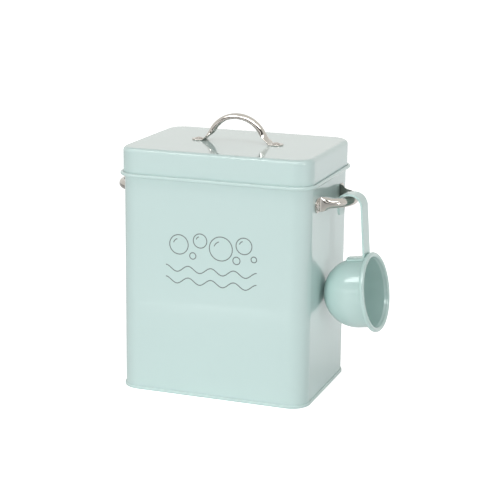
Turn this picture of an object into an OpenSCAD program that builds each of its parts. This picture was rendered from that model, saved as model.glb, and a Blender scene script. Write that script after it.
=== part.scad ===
// Enamelled sheet-steel storage tin with a lift-off lid, three riveted bow
// handles and a scoop that hangs on the right-hand handle. Millimetres, +Z up.
// The origin is on the surface it stands on, at the middle of the whole object's
// width, so the hanging scoop puts the tin itself a little to the left of it.
// The front of the tin faces -Y.

/* [Tin body] */
// Width of the body over its side walls
body_w = 180; // [150:1:220]
// Depth of the body, front to back
body_d = 132; // [116:1:170]
// Height of the body to the top of its curled edge
body_h = 226.8; // [205:0.1:280]
// Plan radius of the body's upright corners
corner_r = 17; // [12:0.5:20]
// Thickness of the body, base and lid sheet
sheet = 0.5; // [0.4:0.05:0.65]
// Outside radius of the safety curl along the body's top edge
curl_r = 1.6; // [1.3:0.1:2]
// Width of the lock seam that closes the body sheet at the back
lock_w = 5; // [4:0.5:8]

/* [Base] */
// Height of the seam that clinches the base to the body
seam_h = 3.2; // [2.8:0.1:4.5]
// Radius of the seam's lower edges
seam_r = 0.8; // [0.7:0.05:1]
// Clearance between the layers of the seam
seam_gap = 0.08; // [0.05:0.01:0.12]

/* [Lid] */
// Height of the lid's skirt, from the middle of its bead to the top face
skirt_h = 24.8; // [18:0.1:40]
// Outside radius where the lid's top turns into its skirt
lid_edge_r = 4; // [3.5:0.1:6]
// Clearance all round between the skirt and the body
lid_clear = 0.8; // [0.7:0.05:1.2]
// Clearance left where the lid sits on the body's curl
seat_gap = 0.3; // [0.2:0.05:0.4]
// Outside radius of the curled bead along the skirt's lower edge
bead_r = 1.7; // [1.1:0.05:1.9]

/* [Bow handles] */
// Distance between the two rivets of a handle
rivet_pitch = 76; // [70:1:84]
// How far a handle's crown stands off the face it is riveted to
handle_reach = 27; // [24:0.5:34]
// Thickness of the handle's steel strip
strip_t = 1.1; // [0.9:0.05:1.3]
// Radius of the round ears, half the width of the flat strip
ear_r = 6.6; // [6:0.1:7.5]
// Length of the flat strip between a rivet's middle and the bend at the foot
ear_flat = 4.1; // [3:0.1:6]
// Slope of the legs against the face
leg_slope = 62; // [56:1:70]
// Radius at the foot of each leg, at the middle of the strip
foot_r = 3; // [2:0.1:4]
// Half the angle that the strip is rolled through, across its width, at the crown
roll_angle = 90; // [76:1:90]
// Height over which the flat strip turns into the rolled one
roll_rise = 10.9; // [8:0.1:14]
// Distance of the side handles' middle line below the lid's bead
handle_drop = 20; // [18:0.5:60]

/* [Rivets] */
// Radius of the rivet's shank
shank_r = 2; // [1.6:0.1:2.4]
// Clearance of the shank in its holes
shank_clear = 0.05; // [0.02:0.01:0.1]
// Radius of the rivet's domed head
head_r = 3.8; // [3.4:0.1:4.6]
// Height of the domed head
head_h = 1.5; // [1:0.1:2]
// Radius of the tail upset inside the tin
tail_r = 3; // [2.6:0.1:3.6]
// Height of the tail
tail_h = 0.9; // [0.6:0.1:1.2]
// How much narrower the tail is at its end than at the sheet
tail_taper = 0.6; // [0.2:0.1:1]

/* [Scoop bowl] */
// Outside radius of the bowl
bowl_r = 31.9; // [28:0.1:36]
// Length of the straight part between the half ball and the rim
bowl_straight = 15.5; // [13:0.5:24]
// Thickness of the bowl sheet
bowl_t = 0.7; // [0.6:0.05:1]
// Outside radius of the bowl's rolled rim
rim_r = 2.3; // [1.8:0.05:3]
// How much the bowl widens just before its rim
rim_flare = 0.7; // [0:0.1:1]

/* [Scoop strap] */
// Width of the strap
strap_w = 16; // [13:0.5:17]
// Thickness of the strap
strap_t = 2; // [1.6:0.1:2.4]
// Radius of the strap's rounded edges
strap_edge_r = 0.7; // [0.4:0.1:0.7]
// Length of the foot that is welded to the bowl
strap_foot = 15.4; // [10:0.1:16]
// Radius of the foot's corners
foot_end_r = 2.5; // [1.5:0.1:4]
// Clearance between the foot and the bowl, where the spot welds hold it
weld_gap = 0.05; // [0.03:0.01:0.1]
// Outside radius of the bend between foot and leg
strap_bend_r = 3.2; // [3:0.1:4]
// Angle between the bowl's axis and the leg
strap_rise = 85.2; // [82:0.1:90]
// Length of the straight leg
strap_leg = 45; // [38:0.5:60]
// Outside radius of the hook's wide bend
hook_r = 12; // [11.5:0.1:13]
// Angle that the hook's wide bend turns through
hook_turn = 95.4; // [92:0.1:98]
// Length of the hook's flat seat
hook_seat = 4.5; // [3.8:0.1:6]
// Outside radius of the hook's tight bend
hook_tip_r = 6.4; // [5:0.1:7]
// Angle that the tight bend turns through
hook_tip_turn = 80; // [76:1:84]
// Length of the tongue behind the handle
hook_tongue = 13.8; // [9:0.1:16]
// Radius of the tongue's corners
tongue_end_r = 5.5; // [3:0.1:5.6]
// Place of the scoop along the handle, from the tin's middle
scoop_y = -7; // [-9:0.5:9]
// Turn of the hanging scoop about the upright
scoop_yaw = -3.5; // [-6:0.5:0]
// Clearance between the hook and the handle it hangs on
hook_gap = 0.3; // [0.2:0.05:0.5]
// Clearance between the resting bowl and the tin's wall
wall_gap = 0.3; // [0.2:0.05:0.5]

/* [Hidden] */

$fn = 64;
MINT = "#c6dcd8";
STEEL = "#b9b5b0";
LAP = 1;
RIM_GAP = 0.25;

// Layers of the base seam, counted outwards from the body's outer face
seam_in = -2 * sheet - seam_gap;
seam_out = 2 * sheet + 2 * seam_gap;
hook_out = sheet + seam_gap;

// The lid sits with its inner radius on the body's curl
lid_in_r = lid_edge_r - sheet;
lid_rise = sqrt(pow(lid_in_r - curl_r - seat_gap, 2) - pow(lid_in_r - curl_r - lid_clear, 2));
lid_edge_z = body_h - curl_r - lid_rise;
lid_top = lid_edge_z + lid_edge_r;
bead_z = lid_top - skirt_h;
side_handle_z = bead_z - handle_drop;
lid_off = lid_clear + sheet;
lid_w = body_w + 2 * lid_off;
lid_d = body_d + 2 * lid_off;
lid_corner_r = corner_r + lid_off;

// Middle line of a bow handle: arc, straight leg, foot bend, flat ear
flat_x = rivet_pitch / 2 - ear_flat;
bow_h = handle_reach - strip_t;
bow_r = (flat_x * sin(leg_slope) - bow_h * cos(leg_slope)) / (1 - cos(leg_slope)) - foot_r;
leg_len = (bow_h - (bow_r + foot_r) * (1 - cos(leg_slope))) / sin(leg_slope);
bow_z = handle_reach - strip_t / 2 - bow_r;
strip_w = 2 * ear_r;

// Size of the rolled strip at the crown of a handle
crown_bend_r = strip_w / (2 * roll_angle * PI / 180);
crown_half_w = (crown_bend_r + strip_t / 2) * sin(roll_angle);
crown_depth = crown_bend_r + strip_t / 2 - (crown_bend_r - strip_t / 2) * cos(roll_angle);

// Place of the strap on the bowl, from the middle of the half ball
strap_x = bowl_straight - rim_r - RIM_GAP;
flare_x = strap_x + RIM_GAP;
foot_z = bowl_r + weld_gap;
strap_z = foot_z + strap_bend_r * (1 - cos(strap_rise));
hook_dir = strap_rise + hook_turn;
hook_c = [strap_x, strap_z]
    + strap_leg * [cos(strap_rise), sin(strap_rise)]
    + hook_r * [-sin(strap_rise), cos(strap_rise)];
seat = hook_c + hook_r * [sin(hook_dir), -cos(hook_dir)]
    + hook_seat * [cos(hook_dir), sin(hook_dir)]
    + strap_t * [-sin(hook_dir), cos(hook_dir)];

// Where the hook sits on the right-hand handle
seat_reach = abs(scoop_y) + strap_w / 2;
bow_in_r = bow_r + strip_t / 2 - crown_depth;
seat_x = body_w / 2 + bow_z + sqrt(pow(bow_in_r, 2) - pow(seat_reach, 2)) + strap_w / 2 * sin(abs(scoop_yaw));
seat_z = side_handle_z + crown_half_w + hook_gap;

// The scoop swings in about its seat until the bowl lies against the wall
swing_x = (body_w / 2 + bowl_r + wall_gap - seat_x) / cos(scoop_yaw);
hang_tilt = acos(-swing_x / norm(seat)) - atan2(seat[1], seat[0]);

// The middle of the whole object's width, from the left handle to the scoop's rim
rim_ring_r = bowl_r - bowl_t + rim_flare + rim_r;
bowl_axis = [cos(hang_tilt) * cos(scoop_yaw), cos(hang_tilt) * sin(scoop_yaw), sin(hang_tilt)];
rim_x = seat_x + swing_x * cos(scoop_yaw) + bowl_straight * bowl_axis[0];
right_x = rim_x + rim_ring_r * norm([bowl_axis[1], bowl_axis[2]]) + rim_r;
left_x = -body_w / 2 - handle_reach;
mid_x = (left_x + right_x) / 2;

module placed() translate([-mid_x, 0, 0]) children();

// Plan shapes and profiles

module round_plan(w, d, r) {
    square([w - 2 * r, d], center = true);
    square([w, d - 2 * r], center = true);
    for (x = [-1, 1], y = [-1, 1])
        translate([x * (w / 2 - r), y * (d / 2 - r)]) circle(r);
}

// Carries a profile round a rounded rectangle. The profile's x is counted
// outwards from the rectangle, and its y is the height.
module carry_round(w, d, r) {
    for (half = [0, 180]) rotate(half) {
        translate([w / 2, d / 2 - r, 0]) rotate([90, 0, 0])
            linear_extrude(d - 2 * r) children();
        rotate(90) translate([d / 2, w / 2 - r, 0]) rotate([90, 0, 0])
            linear_extrude(w - 2 * r) children();
        translate([w / 2 - r, d / 2 - r, 0])
            rotate_extrude(angle = 90) translate([r, 0]) children();
        translate([r - w / 2, d / 2 - r, 0]) rotate(90)
            rotate_extrude(angle = 90) translate([r, 0]) children();
    }
}

// A curl of sheet, open between the angles a and b
module curl(r, t, a, b) {
    difference() {
        circle(r);
        circle(r - t);
        polygon([[0, 0], 2 * r * [cos(a), sin(a)], 3 * r * [cos((a + b) / 2), sin((a + b) / 2)],
            2 * r * [cos(b), sin(b)]]);
    }
}

// The space between x0 and x1, from the height z up, with rounded lower corners
module trough(x0, x1, z, top, r) {
    translate([x0, z + r]) square([x1 - x0, top - z - r]);
    translate([x0 + r, z]) square([x1 - x0 - 2 * r, r]);
    for (x = [x0 + r, x1 - r]) translate([x, z + r]) circle(r);
}

// Tin body and base

module wall_profile() {
    foot_z = sheet + seam_gap;
    hook_top = seam_h - sheet - seam_gap;
    translate([-sheet, seam_r]) square([sheet, body_h - curl_r - seam_r]);
    translate([-curl_r, body_h - curl_r]) curl(curl_r, sheet, -60, 0);
    difference() {
        trough(-sheet, hook_out, foot_z, hook_top, seam_r - foot_z);
        translate([0, foot_z + sheet]) square([seam_gap, hook_top]);
    }
}

module lock_seam() {
    seam_t = 4 * sheet;
    translate([0, body_d / 2 - sheet, seam_h + LAP])
        linear_extrude(bead_z - seam_h - 2 * LAP) {
            square([lock_w - seam_t, seam_t], center = true);
            for (x = [-1, 1]) translate([x * (lock_w - seam_t) / 2, 0]) circle(seam_t / 2);
        }
}

module side_rivet_holes() {
    for (side = [-1, 1], y = [-1, 1])
        translate([side * body_w / 2, y * rivet_pitch / 2, side_handle_z]) rotate([0, 90, 0])
            cylinder(r = shank_r + shank_clear, h = 4 * sheet, center = true);
}

module body_wall() {
    color(MINT) placed() difference() {
        union() {
            carry_round(body_w, body_d, corner_r) wall_profile();
            lock_seam();
        }
        side_rivet_holes();
    }
}

module base_profile() {
    difference() {
        trough(seam_in, seam_out, 0, seam_h, seam_r);
        trough(seam_in + sheet, seam_out - sheet, sheet, seam_h - sheet, seam_r - sheet);
        translate([seam_in + sheet, seam_h - 2 * sheet])
            square([sheet + 2 * seam_gap, 3 * sheet]);
    }
}

module base_panel() {
    color(MINT) placed() {
        carry_round(body_w, body_d, corner_r) base_profile();
        translate([0, 0, seam_h - sheet]) linear_extrude(sheet)
            round_plan(body_w + 2 * seam_in + sheet, body_d + 2 * seam_in + sheet,
                corner_r + seam_in + sheet / 2);
    }
}

// Lid

module lid_profile() {
    translate([-lid_edge_r, lid_edge_z]) intersection() {
        curl(lid_edge_r, sheet, 180, 270);
        square(lid_edge_r);
    }
    translate([-lid_edge_r - LAP, lid_top - sheet]) square([LAP, sheet]);
    translate([-sheet, bead_z]) square([sheet, lid_edge_z - bead_z]);
    translate([bead_r - sheet, bead_z]) curl(bead_r, sheet, 115, 180);
}

module lid() {
    color(MINT) placed() difference() {
        union() {
            carry_round(lid_w, lid_d, lid_corner_r) lid_profile();
            translate([0, 0, lid_top - sheet]) linear_extrude(sheet)
                round_plan(lid_w - 2 * lid_edge_r, lid_d - 2 * lid_edge_r, lid_corner_r - lid_edge_r);
        }
        for (x = [-1, 1]) translate([x * rivet_pitch / 2, 0, lid_top])
            cylinder(r = shank_r + shank_clear, h = 4 * sheet, center = true);
    }
}

// Bow handles, along X on the plane z = 0

ARC_STEPS = 12;
LEG_STEPS = 6;
FOOT_STEPS = 4;
ROLL_STEPS = 8;

// Stations of the right half of the middle line: [x, z, slope]
bow_half = concat(
    [for (i = [0:ARC_STEPS]) let (a = leg_slope * i / ARC_STEPS)
        [bow_r * sin(a), bow_z + bow_r * cos(a), a]],
    [for (i = [1:LEG_STEPS]) let (s = leg_len * i / LEG_STEPS)
        [bow_r * sin(leg_slope) + s * cos(leg_slope),
         bow_z + bow_r * cos(leg_slope) - s * sin(leg_slope), leg_slope]],
    [for (i = [1:FOOT_STEPS]) let (a = leg_slope * (1 - i / FOOT_STEPS))
        [flat_x - foot_r * sin(a), strip_t / 2 + foot_r * (1 - cos(a)), a]],
    [[flat_x + LAP, strip_t / 2, 0]]
);
bow_path = concat(
    [for (i = [len(bow_half) - 1:-1:1]) [-bow_half[i][0], bow_half[i][1], -bow_half[i][2]]],
    bow_half
);

// The strip is flat at its feet and rolled across its width higher up
function ease(t) = let (u = min(max(t, 0), 1)) u * u * (3 - 2 * u);
function roll_at(z) = max(1, roll_angle * ease((z - strip_t) / roll_rise));

// Outline of the rolled strip at one station, as points in space
function strip_ring(st) =
    let (roll = roll_at(st[1]), bend = strip_w / (2 * roll * PI / 180), out = [sin(st[2]), cos(st[2])])
    [for (side = [1, -1], i = [0:ROLL_STEPS])
        let (r = bend + side * strip_t / 2, a = side * roll * (2 * i / ROLL_STEPS - 1),
             o = r * cos(a) - bend)
        [st[0] + o * out[0], r * sin(a), st[1] + o * out[1]]];

module swept(rings) {
    n = len(rings[0]);
    last = len(rings) - 1;
    polyhedron(
        points = [for (ring = rings) each ring],
        faces = concat(
            [for (k = [0:last - 1], i = [0:n - 1], half = [0, 1])
                let (a = k * n + i, b = k * n + (i + 1) % n)
                half == 0 ? [a, b, b + n] : [a, b + n, a + n]],
            [[for (i = [n - 1:-1:0]) i]],
            [[for (i = [0:n - 1]) last * n + i]]));
}

module bow_handle() {
    swept([for (st = bow_path) strip_ring(st)]);
    for (side = [0, 180]) rotate(side) linear_extrude(strip_t) difference() {
        union() {
            translate([rivet_pitch / 2, 0]) circle(ear_r);
            translate([flat_x, -ear_r]) square([rivet_pitch / 2 - flat_x, strip_w]);
        }
        translate([rivet_pitch / 2, 0]) circle(shank_r + shank_clear);
    }
}

// Rivet with its head on the ear and its tail upset inside the sheet
module rivet() {
    dome_r = (head_r * head_r + head_h * head_h) / (2 * head_h);
    translate([0, 0, strip_t]) rotate_extrude() intersection() {
        translate([0, head_h - dome_r]) circle(dome_r);
        square([head_r, head_h]);
    }
    translate([0, 0, -sheet - tail_h]) cylinder(r = shank_r, h = strip_t + sheet + tail_h);
    translate([0, 0, -sheet - tail_h]) cylinder(r1 = tail_r - tail_taper, r2 = tail_r, h = tail_h);
}

module rivet_pair() {
    for (x = [-1, 1]) translate([x * rivet_pitch / 2, 0, 0]) rivet();
}

module on_lid() placed() translate([0, 0, lid_top]) children();
module on_right() placed() translate([body_w / 2, 0, side_handle_z]) rotate([90, 0, 90]) children();
module on_left() placed() translate([-body_w / 2, 0, side_handle_z]) rotate([90, 0, -90]) children();

module lid_handle() color(STEEL) on_lid() bow_handle();
module lid_rivets() color(STEEL) on_lid() rivet_pair();
module right_handle() color(STEEL) on_right() bow_handle();
module right_rivets() color(STEEL) on_right() rivet_pair();
module left_handle() color(STEEL) on_left() bow_handle();
module left_rivets() color(STEEL) on_left() rivet_pair();

// Scoop, with the middle of the bowl's half ball at the origin and its axis along X

module hung() {
    placed() translate([seat_x, scoop_y, seat_z]) rotate([0, 0, scoop_yaw])
        rotate([0, -hang_tilt, 0]) translate([-seat[0], 0, -seat[1]]) children();
}

module bowl_profile() {
    intersection() {
        difference() {
            circle(bowl_r);
            circle(bowl_r - bowl_t);
        }
        translate([0, -bowl_r]) square(bowl_r);
    }
    translate([bowl_r - bowl_t, 0]) square([bowl_t, flare_x]);
    polygon([
        [bowl_r - bowl_t, flare_x], [bowl_r, flare_x],
        [bowl_r + rim_flare, bowl_straight], [bowl_r - bowl_t + rim_flare, bowl_straight]
    ]);
    translate([rim_ring_r, bowl_straight]) curl(rim_r, bowl_t, 180, 235);
}

module scoop_bowl() {
    color(MINT) hung() rotate([0, 90, 0]) rotate_extrude() bowl_profile();
}

// A path in the XZ plane from the point p in the direction d, made of straight
// pieces [length, 0, steps] and left turns [radius, angle, steps].
// Gives stations [x, z, direction, distance along the path].
function walk(p, d, pieces, i = 0, s = 0) =
    i == len(pieces) ? [[p[0], p[1], d, s]] :
    let (size = pieces[i][0], angle = pieces[i][1], steps = pieces[i][2],
         c = p + size * [-sin(d), cos(d)])
    angle == 0
        ? concat([for (k = [0:steps - 1]) let (t = size * k / steps)
                [p[0] + t * cos(d), p[1] + t * sin(d), d, s + t]],
            walk(p + size * [cos(d), sin(d)], d, pieces, i + 1, s + size))
        : concat([for (k = [0:steps - 1]) let (a = d + angle * k / steps)
                [c[0] + size * sin(a), c[1] - size * cos(a), a, s + size * (a - d) * PI / 180]],
            walk(c + size * [sin(d + angle), -cos(d + angle)], d + angle, pieces, i + 1,
                s + size * angle * PI / 180));

WIDTH_STEPS = 6;

// The strap's ends are cut round at their corners
strap_path = walk([strap_x - strap_bend_r * sin(strap_rise) - strap_foot, foot_z], 0, [
    [foot_end_r, 0, 4], [strap_foot - foot_end_r, 0, 1],
    [strap_bend_r, strap_rise, 7], [strap_leg, 0, 1],
    [hook_r, hook_turn, 14], [hook_seat, 0, 1],
    [hook_tip_r, hook_tip_turn, 10], [hook_tongue - tongue_end_r, 0, 1],
    [tongue_end_r, 0, 6]
]);
strap_len = strap_path[len(strap_path) - 1][3];

// Width left at the distance e from an end whose corners are rounded by r
function end_half_w(e, r) = strap_w / 2 - r + (e >= r ? r : sqrt(r * r - pow(r - e, 2)));
function strap_half_w(s) = min(end_half_w(s, foot_end_r), end_half_w(strap_len - s, tongue_end_r));

// The foot is curved across its width to lie on the bowl, and the bend above it
// evens the strap out again
function foot_share(st) = 1 - ease(st[2] / strap_rise);
function sag(y) = foot_z - sqrt(foot_z * foot_z - y * y);

// Section of the strap with rounded edges: points [n, y], n counted from its inner face
function strap_corner(side, end, flat_w) =
    [for (k = [-1, 0, 1]) let (a = 90 * side - 45 * (end + k))
        [strap_t / 2 + side * (strap_t / 2 - strap_edge_r) + strap_edge_r * sin(a),
         end * side * flat_w + strap_edge_r * cos(a)]];
function strap_section(half_w) =
    let (flat_w = half_w - strap_edge_r)
    [for (side = [1, -1]) each concat(
        strap_corner(side, -1, flat_w),
        [for (i = [1:WIDTH_STEPS - 1])
            [strap_t * (1 + side) / 2, side * flat_w * (2 * i / WIDTH_STEPS - 1)]],
        strap_corner(side, 1, flat_w))];

// Outline of the strap at one station
function strap_ring(st) =
    let (out = [-sin(st[2]), cos(st[2])])
    [for (q = strap_section(strap_half_w(st[3])))
        let (n = q[0] - foot_share(st) * sag(q[1]))
        [st[0] + n * out[0], q[1], st[1] + n * out[1]]];

module scoop_strap() {
    color(MINT) hung() swept([for (st = strap_path) strap_ring(st)]);
}

body_wall();
base_panel();
lid();
lid_handle();
lid_rivets();
right_handle();
right_rivets();
left_handle();
left_rivets();
scoop_bowl();
scoop_strap();
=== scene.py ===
"""Looks of the enamelled laundry tin: smooth sheet metal, enamel, steel, light and camera.

Lengths are in millimetres until a mesh is made. Section drawings use x outwards and z up.
"""

import bpy
import numpy as np
from mathutils import Matrix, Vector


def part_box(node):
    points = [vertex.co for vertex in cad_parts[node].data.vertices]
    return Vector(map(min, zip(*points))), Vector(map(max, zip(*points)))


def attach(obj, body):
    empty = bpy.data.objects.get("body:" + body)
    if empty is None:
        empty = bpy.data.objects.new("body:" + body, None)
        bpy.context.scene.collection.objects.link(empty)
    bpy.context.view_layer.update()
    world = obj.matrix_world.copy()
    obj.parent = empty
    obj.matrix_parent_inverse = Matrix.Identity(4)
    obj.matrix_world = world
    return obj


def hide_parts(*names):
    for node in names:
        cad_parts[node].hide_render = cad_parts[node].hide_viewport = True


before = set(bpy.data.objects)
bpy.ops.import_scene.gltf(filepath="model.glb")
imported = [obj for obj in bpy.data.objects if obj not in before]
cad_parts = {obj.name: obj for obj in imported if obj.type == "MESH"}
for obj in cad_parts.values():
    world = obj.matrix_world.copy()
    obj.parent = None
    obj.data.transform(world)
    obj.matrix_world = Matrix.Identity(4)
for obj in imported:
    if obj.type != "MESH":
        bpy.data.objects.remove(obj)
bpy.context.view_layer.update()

MM = 0.001

# Sizes of the tin, as in the part's source
BODY_W, BODY_D, BODY_H, CORNER_R = 180.0, 132.0, 226.8, 17.0
SHEET, CURL_R = 0.5, 1.6
SEAM_H, SEAM_R, SEAM_GAP, FOOT_HOOK = 3.2, 0.8, 0.08, 1.2
SKIRT_H, LID_EDGE_R, LID_CLEAR, SEAT_GAP, BEAD_R = 24.8, 4.0, 0.8, 0.3, 1.7
LOCK_W = 5.0
PITCH, REACH, STRIP_T, EAR_R, EAR_FLAT = 76.0, 27.0, 1.1, 6.6, 4.1
LEG_SLOPE, FOOT_R, ROLL_ANGLE, ROLL_RISE = 62.0, 3.0, 90.0, 10.9
HANDLE_DROP = 20.0
SHANK_R, HEAD_R, HEAD_H, TAIL_R, TAIL_H, TAIL_TAPER = 2.0, 3.8, 1.5, 3.0, 0.9, 0.6
BOWL_R, BOWL_STRAIGHT, BOWL_T, RIM_R, RIM_FLARE, RIM_GAP = 31.9, 15.5, 0.7, 2.3, 0.7, 0.25
STRAP_W, STRAP_T, STRAP_EDGE_R, WELD_GAP = 16.0, 2.0, 0.7, 0.05
STRAP_FOOT, FOOT_END_R, STRAP_BEND_R, STRAP_RISE, STRAP_LEG = 15.4, 2.5, 3.2, 85.2, 45.0
HOOK_R, HOOK_TURN, HOOK_SEAT, HOOK_TIP_R, HOOK_TIP_TURN = 12.0, 95.4, 4.5, 6.4, 80.0
HOOK_TONGUE, TONGUE_END_R, SCOOP_Y, SCOOP_YAW = 13.8, 5.5, -7.0, -3.5
HOOK_GAP, WALL_GAP = 0.3, 0.3

# Flat margins of the base panel and the lid, inside which flat caps close the sheet
BASE_MARGIN, LID_MARGIN = 2.0, 1.0
# A turned surface starts just off its axis, where a flat cap closes it: the radii there, and the
# slope of the bowl in degrees and of the rivet's dome in radians
RIVET_POLE_R, BOWL_POLE_R, BOWL_POLE_TURN, DOME_POLE_TURN = 0.02, 0.3, 0.54, 0.01
HEAD_UNDERCUT = 0.15

# The tin's middle lies left of the origin, because the scoop hangs at the right
lid_low, lid_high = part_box("lid")
TIN_X = (lid_low.x + lid_high.x) / 2 / MM

lid_in_r = LID_EDGE_R - SHEET
lid_rise = np.sqrt((lid_in_r - CURL_R - SEAT_GAP) ** 2 - (lid_in_r - CURL_R - LID_CLEAR) ** 2)
LID_EDGE_Z = BODY_H - CURL_R - lid_rise
LID_TOP = LID_EDGE_Z + LID_EDGE_R
BEAD_Z = LID_TOP - SKIRT_H
SIDE_HANDLE_Z = BEAD_Z - HANDLE_DROP
LID_OFF = LID_CLEAR + SHEET


# Section drawings


def trace(start, heading, pieces):
    """Path of straight runs (length, 0, steps) and turns (radius, degrees, steps).

    A turn follows a circle whose centre lies one radius to the left of the heading for positive
    degrees and to the right for negative ones. Gives the points and the headings in radians.
    """
    p, h = np.array(start, float), np.radians(heading)
    points, headings = [p[None]], [np.array([h])]
    for size, degrees, steps in pieces:
        t = np.arange(1, steps + 1) / steps
        if degrees == 0:
            a = np.full(steps, h)
            q = p + size * t[:, None] * np.array([np.cos(h), np.sin(h)])
        else:
            side = np.sign(degrees) * size
            a = h + np.radians(degrees) * t
            q = p + side * (turn_normal(h) - turn_normal(a))
        points.append(q)
        headings.append(a)
        p, h = q[-1], a[-1]
    return np.concatenate(points), np.concatenate(headings)


def turn_normal(a):
    """Unit vector to the left of the heading a."""
    return np.stack([-np.sin(a), np.cos(a)], -1)


def sheet_section(path, heading, t, round_start):
    """Outline of a sheet of thickness t along a middle line.

    It runs forwards t/2 to the line's right, round a half circle at the end, and back t/2 to its
    left. With round_start a half circle closes it at the start too. Gives points and normals.
    """
    left = turn_normal(heading)

    def half_circle(centre, a):
        turn = np.linspace(-90, 90, 9)[1:-1]
        unit = np.stack([np.cos(a + np.radians(turn)), np.sin(a + np.radians(turn))], -1)
        return centre + unit * t / 2, unit

    end_p, end_n = half_circle(path[-1], heading[-1])
    parts = [path - left * t / 2, end_p, (path + left * t / 2)[::-1]]
    normals = [-left, end_n, left[::-1]]
    if round_start:
        start_p, start_n = half_circle(path[0], heading[0] + np.pi)
        parts.append(start_p)
        normals.append(start_n)
    return np.concatenate(parts), np.concatenate(normals)


# Surfaces


def rectangle_plan(w, d, r, steps=28):
    """Stations round a rounded rectangle: corner centres and unit vectors at whole turns of angle.

    A station's point is its corner centre plus r times its unit vector; the straight sides join
    the last station of one corner to the first of the next.
    """
    angle = np.radians(np.concatenate([np.linspace(0, 90, steps) + 90 * k for k in range(4)]))
    sign = np.repeat([[1, 1], [-1, 1], [-1, -1], [1, -1]], steps, axis=0)
    centre = sign * np.array([w / 2 - r, d / 2 - r])
    return centre, np.stack([np.cos(angle), np.sin(angle)], -1)


def carried(section, normals, w, d, r):
    """Grid of a section carried round a rounded rectangle.

    Point (i, j) is corner centre j plus (r + section x i) times unit vector j, at height section
    z i. Its normal is the section's normal turned the same way.
    """
    centre, unit = rectangle_plan(w, d, r)
    xy = centre[None] + (r + section[:, 0])[:, None, None] * unit[None]
    z = np.broadcast_to(section[:, 1, None, None], xy.shape[:2] + (1,))
    n_xy = normals[:, 0][:, None, None] * unit[None]
    n_z = np.broadcast_to(normals[:, 1, None, None], n_xy.shape[:2] + (1,))
    return np.concatenate([xy, z], -1), np.concatenate([n_xy, n_z], -1)


def revolved(section, normals, steps):
    """Grid of a section (radius, height) turned about the upright: (r cos a, r sin a, z)."""
    a = np.linspace(0, 2 * np.pi, steps, endpoint=False)
    ring = np.stack([np.cos(a), np.sin(a)], -1)[None]
    p = np.concatenate([section[:, 0][:, None, None] * ring,
                        np.broadcast_to(section[:, 1, None, None], (len(section), steps, 1))], -1)
    n = np.concatenate([normals[:, 0][:, None, None] * ring,
                        np.broadcast_to(normals[:, 1, None, None], (len(section), steps, 1))], -1)
    return p, n


def grid_quads(rows, cols, wrap_rows):
    """Cells of a grid whose columns close on themselves, and whose rows do with wrap_rows."""
    i, j = np.meshgrid(np.arange(rows if wrap_rows else rows - 1), np.arange(cols), indexing="ij")
    i2, j2 = (i + 1) % rows, (j + 1) % cols
    cells = np.stack([i * cols + j, i * cols + j2, i2 * cols + j2, i2 * cols + j], -1)
    return cells.reshape(-1, 4).tolist()


def grid_shell(points, wrap_rows):
    """Faces of one grid, with its open ends closed by flat caps."""
    rows, cols = points.shape[:2]
    faces = grid_quads(rows, cols, wrap_rows)
    if not wrap_rows:
        ring = np.arange(cols)
        faces += [ring[::-1].tolist(), (ring + (rows - 1) * cols).tolist()]
    return faces


def make_piece(name, shells, body, nodes, material, uv=None):
    """Mesh of one or more grids (points, normals, wrap_rows), in millimetres, riding on a body.

    Each corner takes the normal worked out for its point. Where normals is None it is the mean
    of the faces round the point.
    """
    verts, faces, normals, smooth_only = [], [], [], False
    first = 0
    for points, shell_normals, wrap_rows in shells:
        flat = points.reshape(-1, 3)
        faces += [[v + first for v in f] for f in grid_shell(points, wrap_rows)]
        verts.append(flat)
        if shell_normals is None:
            smooth_only = True
        else:
            normals.append(shell_normals.reshape(-1, 3))
        first += len(flat)
    mesh = bpy.data.meshes.new(name)
    co = np.concatenate(verts) * MM
    mesh.from_pydata(co.tolist(), [], faces)
    mesh.polygons.foreach_set("use_smooth", np.ones(len(mesh.polygons), bool))
    if uv is not None:
        layer = mesh.uv_layers.new(name="along")
        loop_vert = np.zeros(len(mesh.loops), int)
        mesh.loops.foreach_get("vertex_index", loop_vert)
        layer.data.foreach_set("uv", np.concatenate(uv)[loop_vert].astype(np.float32).ravel())
    mesh.update()
    if not smooth_only:
        mesh.normals_split_custom_set_from_vertices(np.concatenate(normals).tolist())
    obj = bpy.data.objects.new(name, mesh)
    bpy.context.scene.collection.objects.link(obj)
    mesh.materials.append(material)
    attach(obj, body)
    if nodes:
        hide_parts(*nodes)
    return obj


def shift(points):
    """Moves points from the tin's own middle to the frame's."""
    return points + np.array([TIN_X, 0, 0])


# Shader groups and materials


def new_group(name, inputs, outputs):
    """Shader node group with named sockets; gives the tree, its input node and its output node."""
    tree = bpy.data.node_groups.new(name, "ShaderNodeTree")
    for label, kind, value in inputs:
        socket = tree.interface.new_socket(name=label, in_out="INPUT", socket_type=kind)
        socket.default_value = value
    for label, kind in outputs:
        tree.interface.new_socket(name=label, in_out="OUTPUT", socket_type=kind)
    return tree, tree.nodes.new("NodeGroupInput"), tree.nodes.new("NodeGroupOutput")


def math_node(tree, operation, a, b, clamp=False):
    node = tree.nodes.new("ShaderNodeMath")
    node.operation = operation
    node.use_clamp = clamp
    for socket, value in zip(node.inputs, (a, b)):
        if isinstance(value, (int, float)):
            socket.default_value = value
        else:
            tree.links.new(value, socket)
    return node.outputs[0]


def noise_node(tree, vector, scale, detail, roughness=0.5):
    node = tree.nodes.new("ShaderNodeTexNoise")
    tree.links.new(vector, node.inputs["Vector"])
    node.inputs["Scale"].default_value = scale
    node.inputs["Detail"].default_value = detail
    node.inputs["Roughness"].default_value = roughness
    return node.outputs["Fac"]


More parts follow.
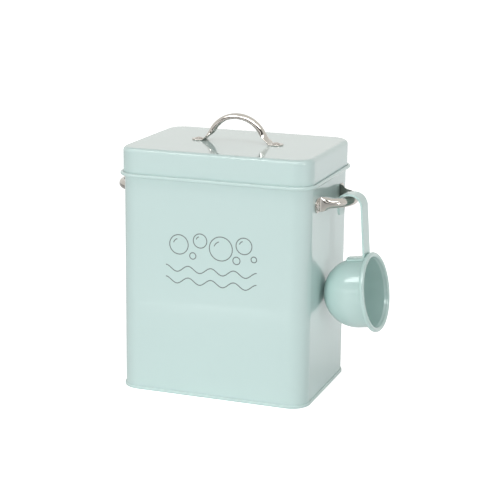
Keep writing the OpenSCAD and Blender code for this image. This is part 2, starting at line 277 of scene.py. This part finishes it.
def enamel_group():
    """Fired enamel: slow colour drift, fine specks, and the ripple of a surface that has flowed."""
    tree, inp, out = new_group(
        "enamel_surface",
        [("Color", "NodeSocketColor", (0.5, 0.7, 0.65, 1)),
         ("Pooled Color", "NodeSocketColor", (0.45, 0.66, 0.62, 1)),
         ("Drift", "NodeSocketFloat", 0.5),
         ("Roughness", "NodeSocketFloat", 0.1)],
        [("Color", "NodeSocketColor"), ("Roughness", "NodeSocketFloat"),
         ("Height", "NodeSocketFloat")])
    coord = tree.nodes.new("ShaderNodeTexCoord").outputs["Object"]
    slow = noise_node(tree, coord, 14.0, 2.0)
    fine = noise_node(tree, coord, 1400.0, 2.0)
    ripple = noise_node(tree, coord, 260.0, 1.5)
    broad = noise_node(tree, coord, 34.0, 1.0)
    centred = math_node(tree, "SUBTRACT", slow, 0.5)
    amount = math_node(tree, "MULTIPLY", centred, inp.outputs["Drift"])
    specks = math_node(tree, "MULTIPLY", math_node(tree, "SUBTRACT", fine, 0.5), 0.18)
    share = math_node(tree, "ADD", math_node(tree, "ADD", amount, specks), 0.3, clamp=True)
    mix = tree.nodes.new("ShaderNodeMix")
    mix.data_type = "RGBA"
    tree.links.new(share, mix.inputs["Factor"])
    tree.links.new(inp.outputs["Color"], mix.inputs["A"])
    tree.links.new(inp.outputs["Pooled Color"], mix.inputs["B"])
    tree.links.new(mix.outputs["Result"], out.inputs["Color"])
    rough = math_node(tree, "MULTIPLY", math_node(tree, "SUBTRACT", slow, 0.5), 0.08)
    tree.links.new(math_node(tree, "ADD", rough, inp.outputs["Roughness"]), out.inputs["Roughness"])
    height = math_node(tree, "ADD", math_node(tree, "MULTIPLY", ripple, 0.25), broad)
    tree.links.new(height, out.inputs["Height"])
    return tree


def steel_group():
    """Polished strip: fine draw lines along the strip, and faint cloudy polish."""
    tree, inp, out = new_group(
        "drawn_strip",
        [("Line Depth", "NodeSocketFloat", 1.0), ("Roughness", "NodeSocketFloat", 0.1)],
        [("Roughness", "NodeSocketFloat"), ("Height", "NodeSocketFloat"),
         ("Shade", "NodeSocketFloat")])
    coord = tree.nodes.new("ShaderNodeTexCoord").outputs
    stretch = tree.nodes.new("ShaderNodeMapping")
    stretch.inputs["Scale"].default_value = (6.0, 900.0, 1.0)
    tree.links.new(coord["UV"], stretch.inputs["Vector"])
    lines = noise_node(tree, stretch.outputs["Vector"], 1.0, 3.0, 0.6)
    cloud = noise_node(tree, coord["Object"], 90.0, 2.0)
    depth = math_node(tree, "MULTIPLY", lines, inp.outputs["Line Depth"])
    tree.links.new(depth, out.inputs["Height"])
    rough = math_node(tree, "MULTIPLY", math_node(tree, "SUBTRACT", lines, 0.5), 0.12)
    cloudy = math_node(tree, "MULTIPLY", math_node(tree, "SUBTRACT", cloud, 0.5), 0.10)
    total = math_node(tree, "ADD", math_node(tree, "ADD", rough, cloudy), inp.outputs["Roughness"])
    tree.links.new(total, out.inputs["Roughness"])
    tree.links.new(math_node(tree, "ADD", math_node(tree, "MULTIPLY", cloud, 0.3), 0.8),
                   out.inputs["Shade"])
    return tree


ENAMEL = enamel_group()
STEEL = steel_group()

ENAMEL_IOR, COAT_ROUGHNESS = 1.5, 0.04
# Strength and depth in metres of the ripple and of the draw lines
ENAMEL_BUMP, STEEL_BUMP = (0.35, 0.00006), (0.3, 0.00003)


def principled(name):
    material = bpy.data.materials.new(name)
    material.use_nodes = True
    tree = material.node_tree
    return material, tree, tree.nodes["Principled BSDF"]


def use_group(tree, group, values):
    node = tree.nodes.new("ShaderNodeGroup")
    node.node_tree = group
    for label, value in values.items():
        node.inputs[label].default_value = value
    return node


def add_bump(tree, shader, height, strength, distance):
    bump = tree.nodes.new("ShaderNodeBump")
    bump.inputs["Strength"].default_value = strength
    bump.inputs["Distance"].default_value = distance
    tree.links.new(height, bump.inputs["Height"])
    tree.links.new(bump.outputs["Normal"], shader.inputs["Normal"])


def enamel_material(name, color, pooled, roughness):
    """A satin colour coat under a clear glassy one, whose gloss whitens the faces seen aslant."""
    material, tree, shader = principled(name)
    group = use_group(tree, ENAMEL, {"Color": color, "Pooled Color": pooled, "Drift": 0.5,
                                     "Roughness": roughness})
    tree.links.new(group.outputs["Color"], shader.inputs["Base Color"])
    tree.links.new(group.outputs["Roughness"], shader.inputs["Roughness"])
    shader.inputs["IOR"].default_value = ENAMEL_IOR
    shader.inputs["Coat Weight"].default_value = 1.0
    shader.inputs["Coat Roughness"].default_value = COAT_ROUGHNESS
    shader.inputs["Coat IOR"].default_value = ENAMEL_IOR
    add_bump(tree, shader, group.outputs["Height"], *ENAMEL_BUMP)
    return material


def steel_material(name, color, roughness, line_depth):
    """Bare metal, dimmed a little where its polish is cloudy."""
    material, tree, shader = principled(name)
    group = use_group(tree, STEEL, {"Line Depth": line_depth, "Roughness": roughness})
    tint = tree.nodes.new("ShaderNodeMix")
    tint.data_type = "RGBA"
    tint.inputs["A"].default_value = tuple(0.7 * c for c in color[:3]) + (1,)
    tint.inputs["B"].default_value = color
    tree.links.new(group.outputs["Shade"], tint.inputs["Factor"])
    tree.links.new(tint.outputs["Result"], shader.inputs["Base Color"])
    tree.links.new(group.outputs["Roughness"], shader.inputs["Roughness"])
    shader.inputs["Metallic"].default_value = 1.0
    add_bump(tree, shader, group.outputs["Height"], *STEEL_BUMP)
    return material


MINT = (0.590, 0.745, 0.725, 1)
MINT_POOLED = (0.565, 0.725, 0.703, 1)
mint = enamel_material("mint_enamel", MINT, MINT_POOLED, 0.36)
SCOOP_MINT = (0.560, 0.735, 0.705, 1)
SCOOP_POOLED = (0.530, 0.710, 0.678, 1)
mint_scoop = enamel_material("mint_scoop_enamel", SCOOP_MINT, SCOOP_POOLED, 0.36)
polished = steel_material("polished_strip_steel", (0.53, 0.505, 0.47, 1), 0.1, 1.0)
domed = steel_material("rivet_steel", (0.52, 0.49, 0.46, 1), 0.16, 0.4)

INK = (0.150, 0.195, 0.190, 1)
INK_THIN = (0.210, 0.260, 0.252, 1)
ink = enamel_material("grey_print", INK, INK_THIN, 0.3)


# Tin body, base and lid

# The body's section starts at the end of its foot, which is turned out and up into the seam
hook_top = SEAM_H - SHEET - SEAM_GAP
path, heading = trace((SEAM_GAP + SHEET / 2, hook_top), -90, [
    (FOOT_HOOK, 0, 1), ((SHEET + SEAM_GAP) / 2, -180, 8),
    (BODY_H - CURL_R - hook_top + FOOT_HOOK, 0, 1), (CURL_R - SHEET / 2, 300, 30)])
section = sheet_section(path, heading, SHEET, True)
wall_grid = carried(*section, BODY_W, BODY_D, CORNER_R)
make_piece("tin_wall", [(shift(wall_grid[0]), wall_grid[1], True)], "tin", ["body_wall"],
           mint)


def lock_seam_surface():
    """Grid of the folded seam that closes the body sheet: a rounded rectangle of the seam's width
    and four sheets' thickness, with a shallow groove where the fold's edge lies, carried upright.
    Its half width shrinks at both ends along a quarter circle of the seam's own half width."""
    thick, edge_r = 4 * SHEET, 0.45
    quarter = np.radians(np.linspace(0, 90, 7))
    half = LOCK_W / 2 - edge_r
    across = np.array([-0.9, -0.55, 0.0, 0.5, 0.62, 0.68, 0.74, 0.86])
    dip = np.array([0, 0, 0, 0, 0.05, 0.14, 0.05, 0])
    turns = [quarter + k * np.pi / 2 for k in range(4)]
    x = [half + edge_r * np.cos(turns[0]), across[::-1] * half, -half + edge_r * np.cos(turns[1]),
         -half + edge_r * np.cos(turns[2]), across * half, half + edge_r * np.cos(turns[3])]
    rise = thick / 2 - edge_r
    y = [rise + edge_r * np.sin(turns[0]), thick / 2 - dip[::-1], rise + edge_r * np.sin(turns[1]),
         -rise + edge_r * np.sin(turns[2]), np.full(8, -thick / 2), -rise + edge_r * np.sin(turns[3])]
    x, y = np.concatenate(x), np.concatenate(y)
    low, high, end = SEAM_H + 1, BEAD_Z - 1, LOCK_W / 2
    turn = np.radians(np.linspace(4, 90, 8))
    z = np.concatenate([low + end * (1 - np.cos(turn)), high - end * (1 - np.cos(turn[::-1]))])
    share = np.concatenate([np.sin(turn), np.sin(turn[::-1])])
    flat = np.ones(len(z))
    return np.stack([share[:, None] * x, flat[:, None] * (BODY_D / 2 - SHEET + y),
                     z[:, None] * np.ones(len(x))], -1)


make_piece("tin_lock_seam", [(shift(lock_seam_surface()), None, False)], "tin", ["body_wall"],
           mint)

leg_x = SHEET + 2 * SEAM_GAP + SHEET / 2
seam_mid_r = SEAM_R - SHEET / 2
inner_x = -1.5 * SHEET - SEAM_GAP
low, high = SHEET / 2, SEAM_H - SHEET / 2
path, heading = trace((SEAM_GAP + SHEET / 2, high), 0, [
    (leg_x - seam_mid_r - SEAM_GAP - SHEET / 2, 0, 1), (seam_mid_r, -90, 8),
    (high - low - 2 * seam_mid_r, 0, 1), (seam_mid_r, -90, 8),
    (leg_x - inner_x - 2 * seam_mid_r, 0, 1), (seam_mid_r, -90, 8),
    (high - low - 2 * seam_mid_r, 0, 1), (seam_mid_r, 90, 8),
    (BASE_MARGIN, 0, 1)])
points, normals = sheet_section(path[::-1], heading[::-1] + np.pi, SHEET, False)
base_grid = carried(points, normals, BODY_W, BODY_D, CORNER_R)
make_piece("tin_base", [(shift(base_grid[0]), base_grid[1], False)], "tin", ["base_panel"],
           mint)

path, heading = trace((-LID_EDGE_R - LID_MARGIN, LID_TOP - SHEET / 2), 0, [
    (LID_MARGIN, 0, 1), (LID_EDGE_R - SHEET / 2, -90, 16), (LID_EDGE_Z - BEAD_Z, 0, 1),
    (BEAD_R - SHEET / 2, 295, 30)])
section = sheet_section(path, heading, SHEET, False)
lid_grid = carried(*section, BODY_W + 2 * LID_OFF, BODY_D + 2 * LID_OFF, CORNER_R + LID_OFF)
make_piece("lid_pressing", [(shift(lid_grid[0]), lid_grid[1], False)], "lid", ["lid"],
           mint)


# Printed ornament on the front: soap bubbles over two waves

INK_W, INK_PROUD, INK_SUNK = 0.9, 0.06, 0.03
BUBBLES = np.array([[-31, 143, 9.0], [-10.5, 148, 6.5], [9.5, 142.5, 11.0], [31.5, 147, 7.5],
                    [-17.5, 133.5, 3.0], [24.5, 133.0, 3.4], [41, 135.5, 2.6]])
GLINT_SHARE, GLINT_FROM, GLINT_TO, GLINT_LEAST_R = 0.6, 105.0, 165.0, 5.0
WAVE_HALF, WAVE_LONG, WAVE_HIGH, WAVE_AT = 44.0, 22.0, 2.8, (120.5, 109.5)


def ink_line(x, z, closed):
    """Grid of a flat ribbon along a line on the front.

    Its edges lie half a line's width to each side, along the line's own normal. An open ribbon
    narrows at its ends along a quarter circle. Its face stands proud of the enamel by the
    thickness of the print.
    """
    p = np.stack([x, z], -1)
    if closed:
        way = np.roll(p, -1, 0) - np.roll(p, 1, 0)
        half = np.full(len(p), INK_W / 2)
    else:
        way = np.gradient(p, axis=0)
        s = np.concatenate([[0], np.cumsum(np.linalg.norm(np.diff(p, axis=0), axis=1))])
        e = np.minimum(np.minimum(s, s[-1] - s), INK_W / 2) / (INK_W / 2)
        half = INK_W / 2 * np.sqrt(np.clip(1 - (1 - e) ** 2, 0.01, 1))
    way /= np.linalg.norm(way, axis=1)[:, None]
    side = np.stack([-way[:, 1], way[:, 0]], -1) * half[:, None]
    front, back = -BODY_D / 2 - INK_PROUD, -BODY_D / 2 + INK_SUNK
    corners = [(p + side, back), (p + side, front), (p - side, front), (p - side, back)]
    grid = np.stack([np.stack([q[:, 0], np.full(len(q), y), q[:, 1]], -1) for q, y in corners], 1)
    return shift(grid), np.broadcast_to([0.0, -1.0, 0.0], grid.shape), closed


def ornament():
    """Circles, of which the larger ones hold an arc, and waves that follow a cosine."""
    shells = []
    ring = np.radians(np.linspace(0, 360, 73)[:-1])
    glint = np.radians(np.linspace(GLINT_FROM, GLINT_TO, 17))
    for x, z, r in BUBBLES:
        shells.append(ink_line(x + r * np.cos(ring), z + r * np.sin(ring), True))
        if r > GLINT_LEAST_R:
            inner = GLINT_SHARE * r
            shells.append(ink_line(x + inner * np.cos(glint), z + inner * np.sin(glint), False))
    x = np.linspace(-WAVE_HALF, WAVE_HALF, 200)
    for z in WAVE_AT:
        shells.append(ink_line(x, z + WAVE_HIGH * np.cos(2 * np.pi * x / WAVE_LONG), False))
    return shells


make_piece("front_ornament", ornament(), "tin", [], ink)


# Bow handles

# Half the span between the feet, the height, the slope of the legs and the crown's radius
flat_x = PITCH / 2 - EAR_FLAT
bow_h = REACH - STRIP_T
slope = np.radians(LEG_SLOPE)
bow_r = (flat_x * np.sin(slope) - bow_h * np.cos(slope)) / (1 - np.cos(slope)) - FOOT_R


def bow_stations():
    """Middle line of a bow handle from ear tip to ear tip, as points, slopes and half widths.

    The right half is an arc, a straight leg, a bend at the foot and the flat ear, whose half width
    falls as the root of ear radius squared minus distance squared. The left half mirrors it.
    """
    leg = (bow_h - (bow_r + FOOT_R) * (1 - np.cos(slope))) / np.sin(slope)
    path, heading = trace((0, REACH - STRIP_T / 2), 0, [
        (bow_r, -LEG_SLOPE, 40), (leg, 0, 14), (FOOT_R, LEG_SLOPE, 14), (EAR_FLAT, 0, 4)])
    turn = np.radians(np.linspace(0, 89, 25)[1:])
    tip = np.stack([PITCH / 2 + EAR_R * np.sin(turn), np.full(len(turn), STRIP_T / 2)], -1)
    half_w = np.concatenate([np.full(len(path), EAR_R), EAR_R * np.cos(turn)])
    path = np.concatenate([path, tip])
    heading = np.concatenate([heading, np.zeros(len(turn))])
    mirrored = path[:0:-1] * np.array([-1, 1])
    return (np.concatenate([mirrored, path]), np.concatenate([-heading[:0:-1], heading]),
            np.concatenate([half_w[:0:-1], half_w]))


def bow_surface():
    """Grid of the rolled strip. Across its width the strip is an arc of a circle of radius
    half width / roll, from -roll to +roll, thickened by half the strip each way, with half-round
    edges. The roll grows from 1 degree at the ears to the full angle by a smooth step of height.
    """
    path, heading, half_w = bow_stations()
    rise = np.clip((path[:, 1] - STRIP_T) / ROLL_RISE, 0, 1)
    roll = np.radians(np.maximum(1.0, ROLL_ANGLE * rise * rise * (3 - 2 * rise)))[:, None]
    edge = np.radians(np.linspace(0, 180, 9)[1:-1])
    across = np.linspace(-1, 1, 21)
    face, end = np.ones(len(across)), np.ones(len(edge))
    share = np.concatenate([across, end, across[::-1], -end])[None]
    radial = np.concatenate([face, np.cos(edge), -face, -np.cos(edge)])[None]
    along = np.concatenate([0 * face, np.sin(edge), 0 * face, -np.sin(edge)])[None]
    flat_half = np.maximum(half_w - STRIP_T / 2, 0.02)[:, None]
    round_w = np.minimum(STRIP_T / 2, half_w)[:, None]
    bend = flat_half / roll
    a = share * roll
    r = bend + radial * STRIP_T / 2
    out = r * np.cos(a) - bend - along * round_w * np.sin(a)
    side = r * np.sin(a) + along * round_w * np.cos(a)
    left = turn_normal(heading)
    x = path[:, 0, None] + out * left[:, 0, None]
    z = path[:, 1, None] + out * left[:, 1, None]
    length = np.concatenate([[0], np.cumsum(np.linalg.norm(np.diff(path, axis=0), axis=1))])
    uv = np.stack([np.broadcast_to(length[:, None] / 100, x.shape),
                   (side / 100) + 0.5 * (radial < 0)], -1)
    # The section is taken backwards, so that the faces point outwards
    return np.stack([x, side, z], -1)[:, ::-1], uv[:, ::-1].reshape(-1, 2)


bow_points, bow_uv = bow_surface()


def rivet_surface():
    """Section of a rivet turned about its axis: the tail upset inside the sheet, the shank, and a
    head that is a dome of a sphere through its rim and its top."""
    dome_r = (HEAD_R ** 2 + HEAD_H ** 2) / (2 * HEAD_H)
    a = np.linspace(np.arcsin(HEAD_R / dome_r), DOME_POLE_TURN, 18)
    dome = np.stack([dome_r * np.sin(a), STRIP_T + HEAD_H - dome_r * (1 - np.cos(a))], -1)
    tail_foot = -SHEET - TAIL_H
    below = np.array([[RIVET_POLE_R, tail_foot], [TAIL_R - TAIL_TAPER, tail_foot],
                      [TAIL_R, -SHEET], [SHANK_R, -SHEET], [SHANK_R, STRIP_T],
                      [HEAD_R - HEAD_UNDERCUT, STRIP_T]])
    section = np.concatenate([below, dome])
    return revolved(section, np.zeros_like(section), 40)[0]


def stand_on_lid(p):
    """Handle drawing to the lid's top: x along the tin's width, z up."""
    return p + np.array([TIN_X, 0, LID_TOP])


def stand_on_right(p):
    """Handle drawing to the right side: its x runs front to back, its z points outwards."""
    return np.stack([p[..., 2] + TIN_X + BODY_W / 2, p[..., 0], p[..., 1] + SIDE_HANDLE_Z], -1)


def stand_on_left(p):
    """The right side's place turned half a turn about the tin's upright middle line."""
    return np.stack([TIN_X - BODY_W / 2 - p[..., 2], -p[..., 0], p[..., 1] + SIDE_HANDLE_Z], -1)


rivet_points = rivet_surface()
for side, body, place in (("lid", "lid", stand_on_lid), ("right", "tin", stand_on_right),
                          ("left", "tin", stand_on_left)):
    make_piece(side + "_bow", [(place(bow_points), None, False)], body, [side + "_handle"],
               polished, [bow_uv])
    pair = [(place(rivet_points + np.array([x, 0, 0])), None, False)
            for x in (-PITCH / 2, PITCH / 2)]
    make_piece(side + "_rivet_pair", pair, body, [side + "_rivets"], domed)


# Scoop

strap_x = BOWL_STRAIGHT - RIM_R - RIM_GAP
rise = np.radians(STRAP_RISE)
foot_z = BOWL_R + WELD_GAP
strap_path, strap_heading = trace((strap_x - STRAP_BEND_R * np.sin(rise) - STRAP_FOOT, foot_z), 0, [
    (FOOT_END_R, 0, 8), (STRAP_FOOT - FOOT_END_R, 0, 3), (STRAP_BEND_R, STRAP_RISE, 16),
    (STRAP_LEG, 0, 6), (HOOK_R, HOOK_TURN, 44), (HOOK_SEAT, 0, 2),
    (HOOK_TIP_R, HOOK_TIP_TURN, 26), (HOOK_TONGUE - TONGUE_END_R, 0, 3), (TONGUE_END_R, 0, 14)])

hook_dir = np.radians(STRAP_RISE + HOOK_TURN)
strap_z = foot_z + STRAP_BEND_R * (1 - np.cos(rise))
hook_c = (np.array([strap_x, strap_z]) + STRAP_LEG * np.array([np.cos(rise), np.sin(rise)])
          + HOOK_R * np.array([-np.sin(rise), np.cos(rise)]))
seat = (hook_c + HOOK_R * np.array([np.sin(hook_dir), -np.cos(hook_dir)])
        + HOOK_SEAT * np.array([np.cos(hook_dir), np.sin(hook_dir)])
        + STRAP_T * np.array([-np.sin(hook_dir), np.cos(hook_dir)]))
crown_r = EAR_R / np.radians(ROLL_ANGLE)
crown_half = crown_r + STRIP_T / 2
bow_z = REACH - STRIP_T / 2 - bow_r
yaw = np.radians(SCOOP_YAW)
seat_x = (BODY_W / 2 + bow_z + np.sqrt((bow_r + STRIP_T / 2 - crown_half) ** 2
                                       - (abs(SCOOP_Y) + STRAP_W / 2) ** 2)
          + STRAP_W / 2 * np.sin(abs(yaw)))
seat_z = SIDE_HANDLE_Z + crown_half + HOOK_GAP
swing_x = (BODY_W / 2 + BOWL_R + WALL_GAP - seat_x) / np.cos(yaw)
tilt = np.arccos(-swing_x / np.linalg.norm(seat)) - np.arctan2(seat[1], seat[0])


def turn_hung(v):
    """Turns the scoop's drawing, whose bowl axis is x, by the hanging tilt and the yaw."""
    x = v[..., 0] * np.cos(tilt) - v[..., 2] * np.sin(tilt)
    z = v[..., 0] * np.sin(tilt) + v[..., 2] * np.cos(tilt)
    y = v[..., 1]
    return np.stack([x * np.cos(yaw) - y * np.sin(yaw), x * np.sin(yaw) + y * np.cos(yaw), z], -1)


def hang(p):
    """The scoop's drawing, hung with its seat on the right handle."""
    return turn_hung(p - np.array([seat[0], 0, seat[1]])) + np.array(
        [seat_x + TIN_X, SCOOP_Y, seat_z])


def along_x(v):
    """Turns a surface of revolution so that its upright axis becomes x."""
    return np.stack([v[..., 2], v[..., 1], -v[..., 0]], -1)


bowl_mid_r = BOWL_R - BOWL_T / 2
flare_x = strap_x + RIM_GAP
flare_run = BOWL_STRAIGHT - flare_x
pole = (BOWL_POLE_R, -np.sqrt(bowl_mid_r ** 2 - BOWL_POLE_R ** 2))
path, heading = trace(pole, BOWL_POLE_TURN, [
    (bowl_mid_r, 90 - BOWL_POLE_TURN, 60), (flare_x, 0, 2)])
tail, tail_heading = trace(path[-1] + np.array([RIM_FLARE, flare_run]), 90, [
    (RIM_R - BOWL_T / 2, -305, 34)])
# The flare moves out by a smooth step
t = np.linspace(0, 1, 10)[1:-1]
step = t * t * (3 - 2 * t)
between = path[-1] + np.stack([RIM_FLARE * step, flare_run * t], -1)
slant = np.pi / 2 - np.arctan(6 * t * (1 - t) * RIM_FLARE / flare_run)
path = np.concatenate([path, between, tail])
heading = np.concatenate([heading, slant, tail_heading])
points, normals = sheet_section(path, heading, BOWL_T, False)
bowl_grid = revolved(points, normals, 128)
make_piece("scoop_shell", [(hang(along_x(bowl_grid[0])), turn_hung(along_x(bowl_grid[1])), False)],
           "scoop", ["scoop_bowl"], mint_scoop)


def strap_surface():
    """Grid of the strap: a rounded rectangle carried along the path.

    The section's point is (half width - edge radius) or the same below it across, and half the
    thickness up or down, with a quarter circle at each corner. The half width falls at each end
    along a quarter circle of the end's corner radius. At the foot the section is curved to lie
    on the bowl: a point y off the middle is lowered by foot radius - sqrt(foot radius^2 - y^2),
    and the share of that falls to nothing along the bend by a smooth step of the heading.
    """
    step = np.linalg.norm(np.diff(strap_path, axis=0), axis=1)
    s = np.concatenate([[0], np.cumsum(step)])

    def end_half(e, r):
        return STRAP_W / 2 - r + np.sqrt(np.maximum(r * r - np.maximum(r - e, 0) ** 2, 0))

    flat = (np.minimum(end_half(s, FOOT_END_R), end_half(s[-1] - s, TONGUE_END_R))
            - STRAP_EDGE_R)[:, None]
    quarter = np.linspace(0, 90, 7)
    run = np.linspace(1, -1, 13)[1:-1]
    face = np.concatenate([quarter, np.full(len(run), 90), 90 + quarter])
    end = np.ones(len(quarter))
    a = np.radians(np.concatenate([face, 180 + face]))[None]
    share = np.concatenate([end, run, -end, -end, -run, end])[None]
    up = np.repeat([1, -1], len(face))[None]
    y = share * flat + STRAP_EDGE_R * np.cos(a)
    n = STRAP_T / 2 + up * (STRAP_T / 2 - STRAP_EDGE_R) + STRAP_EDGE_R * np.sin(a)
    turned = np.clip(strap_heading / rise, 0, 1)[:, None]
    curved = 1 - turned * turned * (3 - 2 * turned)
    n = n - curved * (foot_z - np.sqrt(foot_z ** 2 - y ** 2))
    left = turn_normal(strap_heading)
    return np.stack([strap_path[:, 0, None] + n * left[:, 0, None], y,
                     strap_path[:, 1, None] + n * left[:, 1, None]], -1)


make_piece("scoop_hook_strap", [(hang(strap_surface()), None, False)], "scoop", ["scoop_strap"],
           mint_scoop)


# Floor, light and camera

# The floor's glow as the camera sees it, and the most it glows where gloss and metal mirror it; that
# second glow is less near the tin, as painted shade
FLOOR_SEEN, FLOOR_MIRRORED = 0.75, 0.55
AMBIENT, BACKDROP, ROOM_DIM, WINDOW, STRIP_LIGHT = 0.45, 1.0, 0.08, 1.3, 7.0
# Bands of the room: lowest and highest sine of elevation, and half the width of the soft edges
WINDOW_BAND, STRIP_BAND = (0.13, 0.34, 0.03), (0.64, 0.80, 0.02)


def ramp(tree, value, low, high, bottom, top):
    """Smooth step of a value: bottom below low, top above high."""
    node = tree.nodes.new("ShaderNodeMapRange")
    node.interpolation_type = "SMOOTHSTEP"
    tree.links.new(value, node.inputs["Value"])
    for label, number in (("From Min", low), ("From Max", high), ("To Min", bottom), ("To Max", top)):
        node.inputs[label].default_value = number
    return node.outputs["Result"]


def pick_shader(tree, share, off, on):
    """Mix of two shaders: off where the share is 0, on where it is 1."""
    node = tree.nodes.new("ShaderNodeMixShader")
    for socket, value in zip(node.inputs, (share, off, on)):
        tree.links.new(value, socket)
    return node.outputs[0]


floor_mesh = bpy.data.meshes.new("floor")
floor_mesh.from_pydata([(-12, -12, 0), (12, -12, 0), (12, 12, 0), (-12, 12, 0)], [], [(0, 1, 2, 3)])
floor = bpy.data.objects.new("floor", floor_mesh)
bpy.context.scene.collection.objects.link(floor)
material, tree, shader = principled("pale_floor")
shader.inputs["Base Color"].default_value = (0.92, 0.92, 0.92, 1)
shader.inputs["Roughness"].default_value = 0.9
shader.inputs["Specular IOR Level"].default_value = 0.0
rays = tree.nodes.new("ShaderNodeLightPath").outputs
place = tree.nodes.new("ShaderNodeSeparateXYZ")
tree.links.new(tree.nodes.new("ShaderNodeTexCoord").outputs["Object"], place.inputs[0])
seen = tree.nodes.new("ShaderNodeEmission")
seen.inputs["Strength"].default_value = FLOOR_SEEN
# Added glow of the floor where gloss and metal mirror it: a pale backdrop glow that is nothing in
# front of the tin and to its left, about a third at the tin and full behind it and to its right. Its
# fall towards the tin is painted shade of the floor near the tin, on top of the floor's own lit
# shading
mirrored = tree.nodes.new("ShaderNodeEmission")
out_of_painted_shade = math_node(tree, "ADD", math_node(tree, "MULTIPLY", place.outputs["X"], 0.6),
                 place.outputs["Y"])
tree.links.new(ramp(tree, out_of_painted_shade, -0.3, 0.5, 0.0, FLOOR_MIRRORED), mirrored.inputs["Strength"])
plain = shader.outputs[0]
added = []
for glow in (mirrored, seen):
    node = tree.nodes.new("ShaderNodeAddShader")
    tree.links.new(plain, node.inputs[0])
    tree.links.new(glow.outputs[0], node.inputs[1])
    added.append(node.outputs[0])
either = math_node(tree, "MAXIMUM", rays["Is Glossy Ray"], rays["Is Transmission Ray"])
surface = pick_shader(tree, either, plain, added[0])
surface = pick_shader(tree, rays["Is Camera Ray"], surface, added[1])
tree.links.new(surface, tree.nodes["Material Output"].inputs["Surface"])
floor_mesh.materials.append(material)

world = bpy.data.worlds.new("studio")
bpy.context.scene.world = world
world.use_nodes = True
tree = world.node_tree
tree.nodes.clear()


def sky(color, strength):
    """Even light of one colour and strength from every direction."""
    node = tree.nodes.new("ShaderNodeBackground")
    node.inputs["Color"].default_value = color + (1,)
    node.inputs["Strength"].default_value = strength
    return node.outputs[0]


# What gloss and metal mirror: a white backdrop behind and overhead, and in front and to the right
# a dim room with a low band of window light and a high strip light
rays = tree.nodes.new("ShaderNodeLightPath").outputs
way = tree.nodes.new("ShaderNodeSeparateXYZ")
tree.links.new(tree.nodes.new("ShaderNodeTexCoord").outputs["Generated"], way.inputs[0])
x, y, z = way.outputs


def band(low, high, soft):
    """Share that is 1 where a direction's height lies between low and high."""
    return math_node(tree, "MULTIPLY", ramp(tree, z, low - soft, low + soft, 0.0, 1.0),
                     ramp(tree, z, high - soft, high + soft, 1.0, 0.0))


room = pick_shader(tree, band(*WINDOW_BAND), sky((1.0, 0.90, 0.80), ROOM_DIM),
                   sky((1, 1, 1), WINDOW))
turned = math_node(tree, "SUBTRACT", y, math_node(tree, "MULTIPLY", x, 0.15))
behind = ramp(tree, turned, -0.48, -0.30, 0.0, 1.0)
mirrored = pick_shader(tree, behind, room, sky((1.0, 0.995, 0.965), BACKDROP))
strip = math_node(tree, "MULTIPLY", band(*STRIP_BAND), ramp(tree, y, -0.30, -0.20, 1.0, 0.0))
mirrored = pick_shader(tree, strip, mirrored, sky((1, 1, 1), STRIP_LIGHT))
either = math_node(tree, "MAXIMUM", rays["Is Glossy Ray"], rays["Is Transmission Ray"])
surface = pick_shader(tree, either, sky((0.99, 1.0, 0.99), AMBIENT), mirrored)
surface = pick_shader(tree, rays["Is Camera Ray"], surface, sky((1, 1, 1), 1.0))
tree.links.new(surface, tree.nodes.new("ShaderNodeOutputWorld").inputs["Surface"])


def softbox(name, place, aim, size, watts):
    """Rectangular lamp that faces its aim and that the camera doesn't see."""
    light = bpy.data.lights.new(name, "AREA")
    light.shape = "RECTANGLE"
    light.size, light.size_y = size
    light.energy = watts
    obj = bpy.data.objects.new(name, light)
    back = np.array(place, float) - np.array(aim, float)
    back /= np.linalg.norm(back)
    right = np.cross([0, 0, 1], back)
    right /= np.linalg.norm(right)
    up = np.cross(back, right)
    obj.matrix_world = Matrix(np.vstack([
        np.column_stack([right, up, back, place]), [0, 0, 0, 1]]).tolist())
    obj.visible_camera = False
    bpy.context.scene.collection.objects.link(obj)
    return obj


softbox("overhead_strip", (0.285, -0.705, 1.78), (0, 0, 0.15), (0.95, 0.22), 3.5)
key = softbox("front_key", (-0.7, -2.5, 0.62), (0, 0, 0.12), (1.0, 0.8), 22.0)
key.visible_glossy = False
bounce = softbox("low_bounce", (-0.05, -0.36, 0.012), (-0.02, -0.06, 0.06), (0.3, 0.02), 0.09)
bounce.visible_glossy = False
softbox("side_strip", (1.9, -0.95, 0.36), (0, 0, 0.12), (0.2, 0.7), 5.0)

AZ, EL, ROLL = np.radians(19.67), np.radians(14.12), np.radians(0.68)
DISTANCE, FOCAL_PX, FRAME_PX = 1.42659, 1511.28, 500
# The camera's aim: a height on the tin's middle line, and how far right of it and above it
AIM_Z, AIM_RIGHT, AIM_UP = 100.0, 12.86, 24.74
back = np.array([np.sin(AZ) * np.cos(EL), -np.cos(AZ) * np.cos(EL), np.sin(EL)])
right = np.array([np.cos(AZ), np.sin(AZ), 0])
up = np.cross(back, right)
aim = np.array([TIN_X, 0, AIM_Z]) + AIM_RIGHT * right + AIM_UP * up
place = aim * MM + DISTANCE * back
cam_right = np.cos(ROLL) * right + np.sin(ROLL) * up
cam_up = np.cos(ROLL) * up - np.sin(ROLL) * right
camera = bpy.data.cameras.new("camera")
camera.sensor_width = 36.0
camera.lens = FOCAL_PX / FRAME_PX * camera.sensor_width
camera.clip_end = 60.0
cam_obj = bpy.data.objects.new("camera", camera)
cam_obj.matrix_world = Matrix(np.vstack([
    np.column_stack([cam_right, cam_up, back, place]), [0, 0, 0, 1]]).tolist())
bpy.context.scene.collection.objects.link(cam_obj)
bpy.context.scene.camera = cam_obj
bpy.context.scene.view_settings.view_transform = "Standard"
